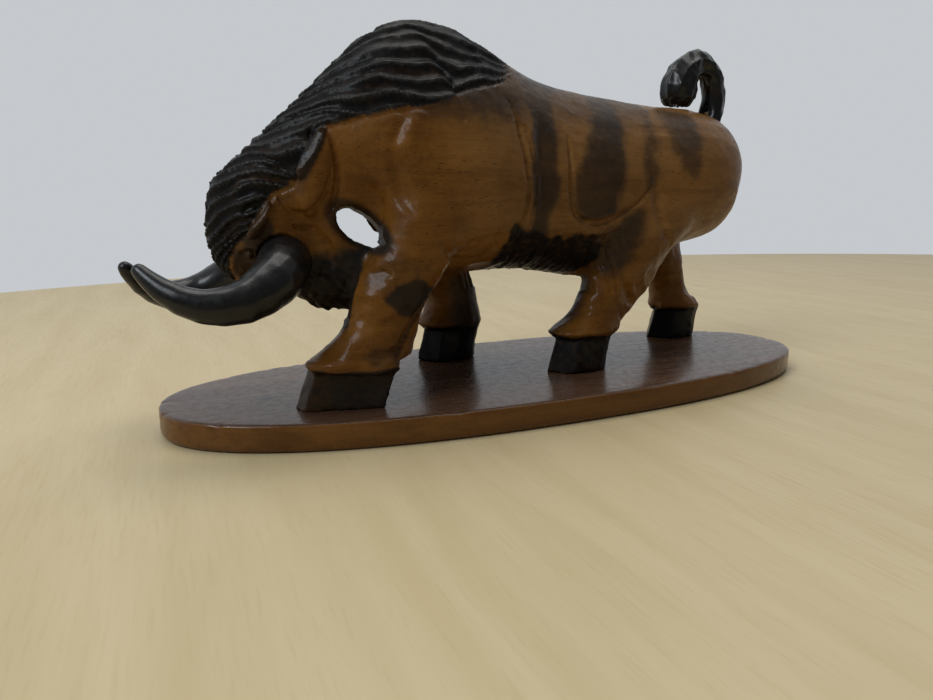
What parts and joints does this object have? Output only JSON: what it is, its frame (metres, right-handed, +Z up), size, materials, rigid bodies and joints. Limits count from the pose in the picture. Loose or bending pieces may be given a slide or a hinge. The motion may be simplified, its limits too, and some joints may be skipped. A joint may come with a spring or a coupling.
{
  "type": "carved wooden bull",
  "caption": "Carved wooden bull with lowered head, upturned horns, fluted mane and hooked tail, standing on an oval board.",
  "frame": {"origin": "centre of the board's flat underside", "axes": "+Z up; +X along the board from the bull's head to its tail; the bull's left side faces -Y"},
  "size_m": [0.309, 0.108, 0.1542],
  "materials": {
    "board_wood": "gloss",
    "carved_wood": "gloss",
    "black_stain": "gloss",
    "dowel_wood": "matte",
    "screw_steel": "satin"
  },
  "bodies": {
    "root": {"base_board": "board_wood", "carved_body": "carved_wood", "horn_left": "black_stain", "horn_right": "black_stain", "tail": "black_stain", "horn_dowel_left": "dowel_wood", "horn_dowel_right": "dowel_wood", "tail_dowel": "dowel_wood", "screw_fore_left": "screw_steel", "screw_fore_right": "screw_steel", "screw_hind_left": "screw_steel", "screw_hind_right": "screw_steel"}
  },
  "joints": []
}
